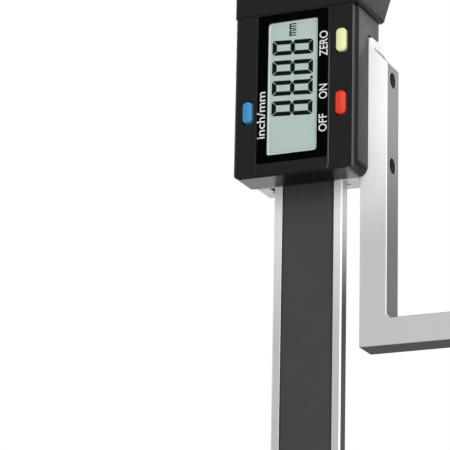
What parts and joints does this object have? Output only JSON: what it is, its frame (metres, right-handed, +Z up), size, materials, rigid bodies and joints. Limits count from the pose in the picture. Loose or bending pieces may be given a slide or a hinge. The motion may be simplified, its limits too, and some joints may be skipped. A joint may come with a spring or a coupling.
{
  "type": "digital height gauge",
  "caption": "Small digital height gauge: a display head with a side measuring arm slides on an upright steel beam in a magnetic base.",
  "frame": {"origin": "on the table under the middle of the beam's front face, at the base's underside", "axes": "+X right towards the measuring arm, +Y back, +Z up along the beam"},
  "size_m": [0.1047, 0.0367, 0.212],
  "materials": {
    "base_paint": "semi-matt black crackle-free enamel on steel",
    "dark_steel": "blackened, ground face",
    "black_oxide": "black oxide",
    "nickel": "nickel plated",
    "zinc_screw": "zinc plated",
    "ground_steel": "ground and satin, fine lengthways grain",
    "satin_steel": "satin",
    "arm_steel": "ground, fine grain",
    "knurled_steel": "knurled, satin",
    "bronze": "drawn phosphor bronze",
    "board_laminate": "copper-patterned laminate",
    "scale_film": "dark printed film",
    "black_plastic": "fine moulded texture, semi-matt",
    "gloss_black": "polished black",
    "clear_window": "clear",
    "lcd_grey": "reflective liquid-crystal panel",
    "zebra_rubber": "silicone",
    "board_green": "solder mask",
    "chip_resin": "potting resin",
    "contact_gold": "gold flash",
    "yellow_button": "smooth moulding",
    "red_button": "smooth moulding",
    "blue_button": "smooth moulding"
  },
  "bodies": {
    "stand": {"base_block": "base_paint", "clamp_plate": "dark_steel", "clamp_screws": "black_oxide", "base_magnets": "nickel", "magnet_screws": "zinc_screw", "beam": "ground_steel", "stator_strip": "board_laminate", "scale_film": "scale_film", "end_stop": "satin_steel", "end_stop_screws": "zinc_screw"},
    "head": {"slider_body": "satin_steel", "gib_strip": "bronze", "gib_screws": "black_oxide", "lock_pad": "bronze", "measuring_arm": "arm_steel", "arm_screws": "black_oxide", "front_housing": "black_plastic", "housing_screws": "zinc_screw", "display_bezel": "gloss_black", "display_window": "clear_window", "lcd_panel": "lcd_grey", "zebra_strips": "zebra_rubber", "circuit_board": "board_green", "controller_chip": "chip_resin", "switch_domes": "contact_gold", "button_cell": "nickel", "battery_contacts": "contact_gold", "roller_pin": "satin_steel"},
    "roller": {"thumb_roller": "knurled_steel"},
    "lock": {"lock_screw": "knurled_steel"},
    "zero_key": {"zero_button": "yellow_button"},
    "power_key": {"power_button": "red_button"},
    "unit_key": {"unit_button": "blue_button"},
    "cover": {"battery_cover": "black_plastic"}
  },
  "joints": [
    {"name": "head_slide", "type": "slide", "parent": "stand", "child": "head", "axis": [0, 0, 1], "range_m": [-0.08888, 0.01112]},
    {"name": "roller_spin", "type": "hinge", "parent": "head", "child": "roller", "pos_m": [0.0133, 0.0016, 0.17628], "axis": [0, 1, 0], "range_deg": [-121, 962]},
    {"name": "lock_turn", "type": "hinge", "parent": "head", "child": "lock", "pos_m": [-0.0148, 0.0016, 0.17628], "axis": [-1, 0, 0], "range_deg": [0, 180]},
    {"name": "zero_press", "type": "slide", "parent": "head", "child": "zero_key", "axis": [0, 1, 0], "range_m": [0, 0.0005], "stiffness_N_per_m": 400},
    {"name": "power_press", "type": "slide", "parent": "head", "child": "power_key", "axis": [0, 1, 0], "range_m": [0, 0.0005], "stiffness_N_per_m": 400},
    {"name": "unit_press", "type": "slide", "parent": "head", "child": "unit_key", "axis": [0, 1, 0], "range_m": [0, 0.0005], "stiffness_N_per_m": 400},
    {"name": "cover_slide", "type": "slide", "parent": "head", "child": "cover", "axis": [0, 0, 1], "range_m": [0, 0.026]}
  ],
  "couplings": [
    {"joint": "roller_spin", "follows": "head_slide", "rad_per_m": -188.68}
  ]
}
